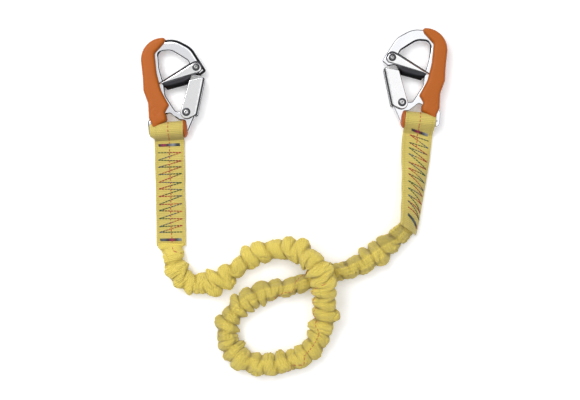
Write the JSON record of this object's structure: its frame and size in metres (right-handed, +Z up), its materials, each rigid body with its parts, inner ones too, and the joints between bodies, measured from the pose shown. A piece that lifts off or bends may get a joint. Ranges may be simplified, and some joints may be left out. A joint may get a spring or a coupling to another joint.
{
  "type": "shock absorbing lanyard",
  "caption": "Elasticated safety tether: gathered tubular webbing over an elastic cord, with a sewn loop and a double-action snap hook with moulded grip at each end.",
  "frame": {"origin": "centre of the footprint of the two hooks and their sewn straps, on the surface it lies on", "axes": "+X from the left hook to the right hook, +Y from the webbing towards the hooks' bows, +Z up from the surface"},
  "size_m": [0.3512, 0.4004, 0.0562],
  "materials": {
    "steel": "polished stainless steel",
    "lever": "polished stainless steel sheet",
    "gate": "satin stainless steel sheet",
    "pins": "polished stainless rivet",
    "rivet": "plain steel rivet",
    "spring": "spring steel",
    "grip": "satin moulded orange plastic",
    "sleeve": "dull orange plastic",
    "webbing": "woven polyester webbing, yellow",
    "elastic": "covered rubber shock cord"
  },
  "bodies": {
    "webbing": {"left_strap": "webbing", "right_strap": "webbing", "gathered_webbing": "webbing", "elastic_cord": "elastic"},
    "left_hook": {"left_hook_body": "steel", "left_grip_half_a": "grip", "left_grip_half_b": "grip", "left_grip_rivet": "rivet", "left_eye_sleeve": "sleeve", "left_lever_spring": "spring", "left_gate_spring": "spring"},
    "left_lever": {"left_lever": "lever", "left_lever_pin": "pins"},
    "left_gate": {"left_gate": "gate", "left_gate_pin": "pins"},
    "right_hook": {"right_hook_body": "steel", "right_grip_half_a": "grip", "right_grip_half_b": "grip", "right_grip_rivet": "rivet", "right_eye_sleeve": "sleeve", "right_lever_spring": "spring", "right_gate_spring": "spring"},
    "right_lever": {"right_lever": "lever", "right_lever_pin": "pins"},
    "right_gate": {"right_gate": "gate", "right_gate_pin": "pins"}
  },
  "joints": [
    {"name": "left_hook_swing", "type": "hinge", "parent": "webbing", "child": "left_hook", "pos_m": [-0.1437, 0.0074, 0.009], "axis": [0.9969, 0.0785, 0], "range_deg": [0, 80]},
    {"name": "left_lever_swing", "type": "hinge", "parent": "left_hook", "child": "left_lever", "pos_m": [-0.11249, 0.07857, 0.009], "axis": [0, 0, -1], "range_deg": [0, 30], "stiffness_Nm_per_rad": 0.05, "springref_deg": -20.05, "deforming": ["left_lever_spring"]},
    {"name": "left_gate_swing", "type": "hinge", "parent": "left_hook", "child": "left_gate", "pos_m": [-0.12348, 0.02705, 0.009], "axis": [0, 0, 1], "range_deg": [0, 24], "stiffness_Nm_per_rad": 0.05, "springref_deg": -17.19, "deforming": ["left_gate_spring"]},
    {"name": "right_hook_swing", "type": "hinge", "parent": "webbing", "child": "right_hook", "pos_m": [0.1437, 0.0185, 0.009], "axis": [0.9969, -0.0785, 0], "range_deg": [0, 80]},
    {"name": "right_lever_swing", "type": "hinge", "parent": "right_hook", "child": "right_lever", "pos_m": [0.11249, 0.08967, 0.009], "axis": [0, 0, 1], "range_deg": [0, 30], "stiffness_Nm_per_rad": 0.05, "springref_deg": -20.05, "deforming": ["right_lever_spring"]},
    {"name": "right_gate_swing", "type": "hinge", "parent": "right_hook", "child": "right_gate", "pos_m": [0.12348, 0.03815, 0.009], "axis": [0, 0, -1], "range_deg": [0, 24], "stiffness_Nm_per_rad": 0.05, "springref_deg": -17.19, "deforming": ["right_gate_spring"]}
  ],
  "couplings": [
    {"joint": "left_gate_swing", "follows": "left_lever_swing", "ratio": 0.8},
    {"joint": "right_gate_swing", "follows": "right_lever_swing", "ratio": 0.8}
  ]
}
